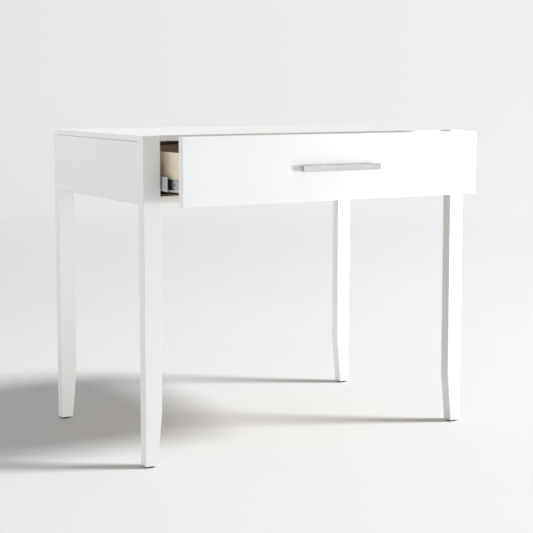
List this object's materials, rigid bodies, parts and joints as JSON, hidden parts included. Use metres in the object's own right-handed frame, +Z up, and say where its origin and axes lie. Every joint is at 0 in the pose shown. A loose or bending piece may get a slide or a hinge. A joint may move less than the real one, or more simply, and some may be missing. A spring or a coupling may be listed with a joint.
{
  "type": "writing desk",
  "caption": "White lacquered writing desk with slim inward-tapered legs and one wide inset drawer with a bar handle, on side-mounted ball-bearing slides.",
  "frame": {"origin": "on the floor, at the middle of the four legs' footprint", "axes": "+X to the right seen from the front, +Y from the front to the back, +Z up"},
  "size_m": [0.9, 0.6835, 0.762],
  "materials": {
    "white_lacquer": "smooth satin white lacquer",
    "natural_birch": "clear-coated pale hardwood",
    "drawer_bottom_ply": "clear-coated plywood",
    "zinc_plated_steel": "bright zinc plate, rolled",
    "screw_steel": "zinc-plated steel",
    "satin_nickel": "satin nickel",
    "glide_nylon": "dark moulded nylon",
    "bumper_clear": "translucent soft pad"
  },
  "bodies": {
    "cabinet": {"desk_top": "white_lacquer", "leg_front_left": "white_lacquer", "leg_front_right": "white_lacquer", "leg_rear_left": "white_lacquer", "leg_rear_right": "white_lacquer", "side_panel_left": "white_lacquer", "side_panel_right": "white_lacquer", "back_apron": "white_lacquer", "front_rail": "white_lacquer", "dust_board": "drawer_bottom_ply", "slide_spacer_left": "natural_birch", "slide_spacer_right": "natural_birch", "panel_dowels": "natural_birch", "top_brackets": "zinc_plated_steel", "bracket_screws": "screw_steel", "spacer_screws": "screw_steel", "rail_screws": "screw_steel", "glide_front_left": "glide_nylon", "glide_front_right": "glide_nylon", "glide_rear_left": "glide_nylon", "glide_rear_right": "glide_nylon", "slide_cabinet_member_left": "zinc_plated_steel", "slide_cabinet_member_right": "zinc_plated_steel", "slide_cabinet_screws": "screw_steel"},
    "drawer": {"slide_drawer_member_left": "zinc_plated_steel", "slide_drawer_member_right": "zinc_plated_steel", "slide_drawer_screws": "screw_steel", "drawer_front": "white_lacquer", "drawer_side_left": "natural_birch", "drawer_side_right": "natural_birch", "drawer_box_front": "natural_birch", "drawer_box_back": "natural_birch", "drawer_bottom": "drawer_bottom_ply", "drawer_corner_dowels": "natural_birch", "drawer_front_screws": "screw_steel", "handle_bar": "satin_nickel", "handle_post_left": "satin_nickel", "handle_post_right": "satin_nickel", "handle_screws": "screw_steel", "drawer_bumpers": "bumper_clear"},
    "middle_member_left": {"slide_middle_member_left": "zinc_plated_steel"},
    "middle_member_right": {"slide_middle_member_right": "zinc_plated_steel"},
    "outer_cage_left": {"outer_ball_cage_left": "screw_steel"},
    "outer_cage_right": {"outer_ball_cage_right": "screw_steel"},
    "inner_cage_left": {"inner_ball_cage_left": "screw_steel"},
    "inner_cage_right": {"inner_ball_cage_right": "screw_steel"}
  },
  "joints": [
    {"name": "drawer_slide", "type": "slide", "parent": "cabinet", "child": "drawer", "axis": [0, -1, 0], "range_m": [-0.1075, 0.3425]},
    {"name": "middle_member_left_slide", "type": "slide", "parent": "cabinet", "child": "middle_member_left", "axis": [0, -1, 0], "range_m": [-0.05376, 0.17126]},
    {"name": "outer_cage_left_slide", "type": "slide", "parent": "cabinet", "child": "outer_cage_left", "axis": [0, -1, 0], "range_m": [-0.02688, 0.08564]},
    {"name": "inner_cage_left_slide", "type": "slide", "parent": "cabinet", "child": "inner_cage_left", "axis": [0, -1, 0], "range_m": [-0.08063, 0.25688]},
    {"name": "middle_member_right_slide", "type": "slide", "parent": "cabinet", "child": "middle_member_right", "axis": [0, -1, 0], "range_m": [-0.05376, 0.17126]},
    {"name": "outer_cage_right_slide", "type": "slide", "parent": "cabinet", "child": "outer_cage_right", "axis": [0, -1, 0], "range_m": [-0.02688, 0.08564]},
    {"name": "inner_cage_right_slide", "type": "slide", "parent": "cabinet", "child": "inner_cage_right", "axis": [0, -1, 0], "range_m": [-0.08063, 0.25688]}
  ],
  "couplings": [
    {"joint": "middle_member_left_slide", "follows": "drawer_slide", "ratio": 0.5},
    {"joint": "outer_cage_left_slide", "follows": "drawer_slide", "ratio": 0.25},
    {"joint": "inner_cage_left_slide", "follows": "drawer_slide", "ratio": 0.75},
    {"joint": "middle_member_right_slide", "follows": "drawer_slide", "ratio": 0.5},
    {"joint": "outer_cage_right_slide", "follows": "drawer_slide", "ratio": 0.25},
    {"joint": "inner_cage_right_slide", "follows": "drawer_slide", "ratio": 0.75}
  ]
}
